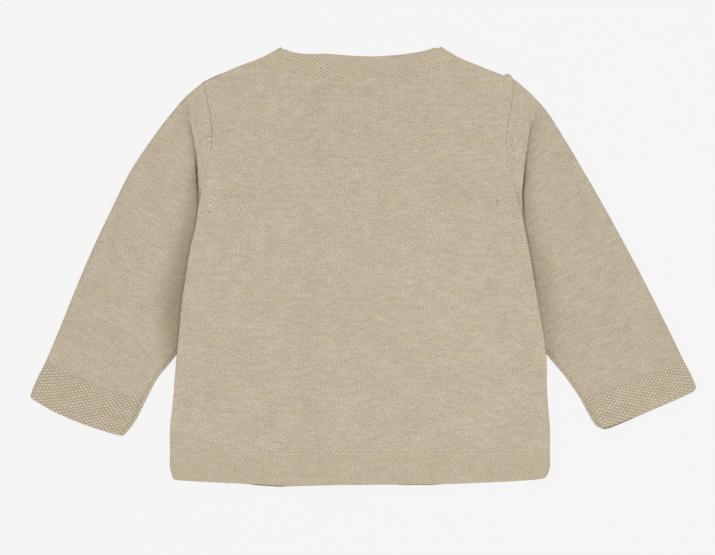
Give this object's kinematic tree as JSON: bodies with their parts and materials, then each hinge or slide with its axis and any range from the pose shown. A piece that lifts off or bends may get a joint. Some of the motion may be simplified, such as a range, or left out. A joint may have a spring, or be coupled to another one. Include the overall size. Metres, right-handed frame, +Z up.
{
  "type": "baby cardigan",
  "caption": "Fine-knit long-sleeved baby cardigan laid flat with its back upwards, moss-stitch neckband, hem and cuffs, sleeves tucked under the body's sides.",
  "frame": {"origin": "middle of the garment's box, on the surface that it lies on", "axes": "+Z up out of the back, +Y towards the neck, +X towards the wearer's right sleeve"},
  "size_m": [0.4911, 0.3262, 0.0082],
  "materials": {
    "plain_knit": "matte heathered beige stockinette of fine yarn",
    "moss_knit": "matte heathered beige moss stitch of the same yarn",
    "button": "satin beige plastic"
  },
  "bodies": {
    "root": {"back": "plain_knit", "front_left": "plain_knit", "front_right": "plain_knit", "sleeve_left": "plain_knit", "sleeve_right": "plain_knit", "back_hem": "moss_knit", "front_left_hem": "moss_knit", "front_right_hem": "moss_knit", "cuff_left": "moss_knit", "cuff_right": "moss_knit", "neckband": "moss_knit", "button_band": "moss_knit", "buttonhole_band": "moss_knit", "button_1": "button", "button_2": "button", "button_3": "button", "button_4": "button", "button_5": "button"}
  },
  "joints": []
}
